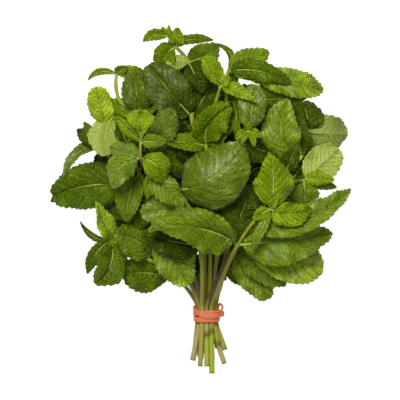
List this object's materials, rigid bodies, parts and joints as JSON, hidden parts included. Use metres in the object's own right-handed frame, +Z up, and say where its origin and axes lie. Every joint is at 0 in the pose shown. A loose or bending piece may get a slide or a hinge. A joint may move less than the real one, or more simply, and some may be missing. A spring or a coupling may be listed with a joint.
{
  "type": "tied bunch of fresh mint",
  "caption": "Bunch of fresh mint lying on its back: leafy square stems fanned out above a wound rubber band, with toothed leaves and bare cut ends.",
  "frame": {"origin": "middle of the bunch's footprint on the surface it lies on", "axes": "+Y from the cut stem ends to the crown of leaves, +X across the bunch, +Z up from the surface"},
  "size_m": [0.2108, 0.2448, 0.0877],
  "materials": {
    "mint_leaf": "satin",
    "mint_stem": "satin",
    "rubber_band": "matte"
  },
  "bodies": {
    "root": {"stem_top_left": "mint_leaf", "stem_top_centre": "mint_leaf", "stem_upper_left": "mint_leaf", "stem_left_high": "mint_leaf", "stem_front_left": "mint_leaf", "stem_left": "mint_leaf", "stem_low_left": "mint_leaf", "stem_upper_right": "mint_leaf", "stem_top_right": "mint_leaf", "stem_right_high": "mint_leaf", "stem_right": "mint_leaf", "stem_front_right": "mint_leaf", "stem_low_right": "mint_leaf", "stem_back_centre": "mint_leaf", "stem_back_right": "mint_leaf", "stem_back_left": "mint_leaf", "rubber_band": "rubber_band"}
  },
  "joints": []
}
